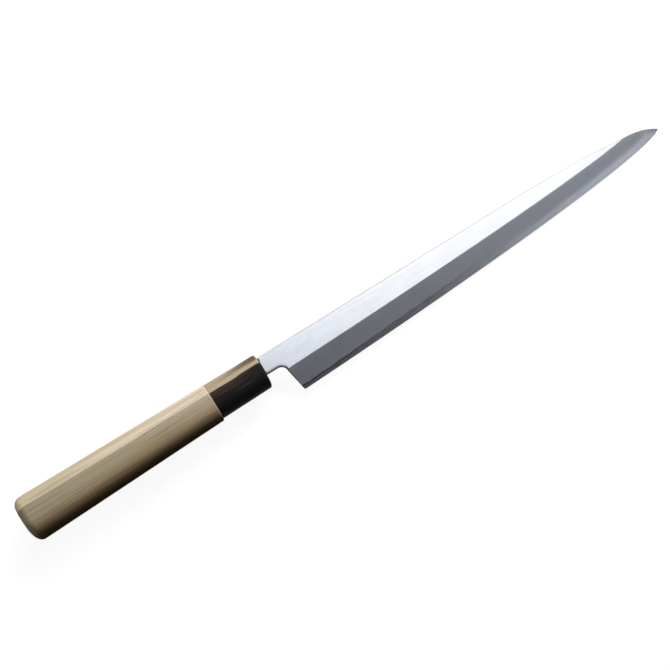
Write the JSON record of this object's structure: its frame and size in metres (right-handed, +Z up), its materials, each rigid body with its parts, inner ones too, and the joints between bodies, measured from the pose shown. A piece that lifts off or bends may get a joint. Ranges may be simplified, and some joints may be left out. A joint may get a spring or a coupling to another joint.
{
  "type": "fuguhiki knife",
  "caption": "Long thin single-bevel slicing knife: laminated iron and steel blade with a hollow back, ridged oval wooden handle and a horn ferrule.",
  "frame": {"origin": "middle of the knife's footprint, on the surface that it lies on", "axes": "+X towards the tip, +Y towards the spine, +Z up out of the bevelled face; the knife lies as it settles, 6 degrees edge down and 1.45 degrees tip down"},
  "size_m": [0.386, 0.0298, 0.0223],
  "materials": {
    "blade_iron": "satin flat, hazy grey bevel",
    "edge_steel": "fine polish",
    "horn": "polished horn, black with a tan streak",
    "wood": "bare fine-grained wood, sanded"
  },
  "bodies": {
    "root": {"blade_body": "blade_iron", "edge_steel": "edge_steel", "horn_ferrule": "horn", "wood_handle": "wood"}
  },
  "joints": []
}
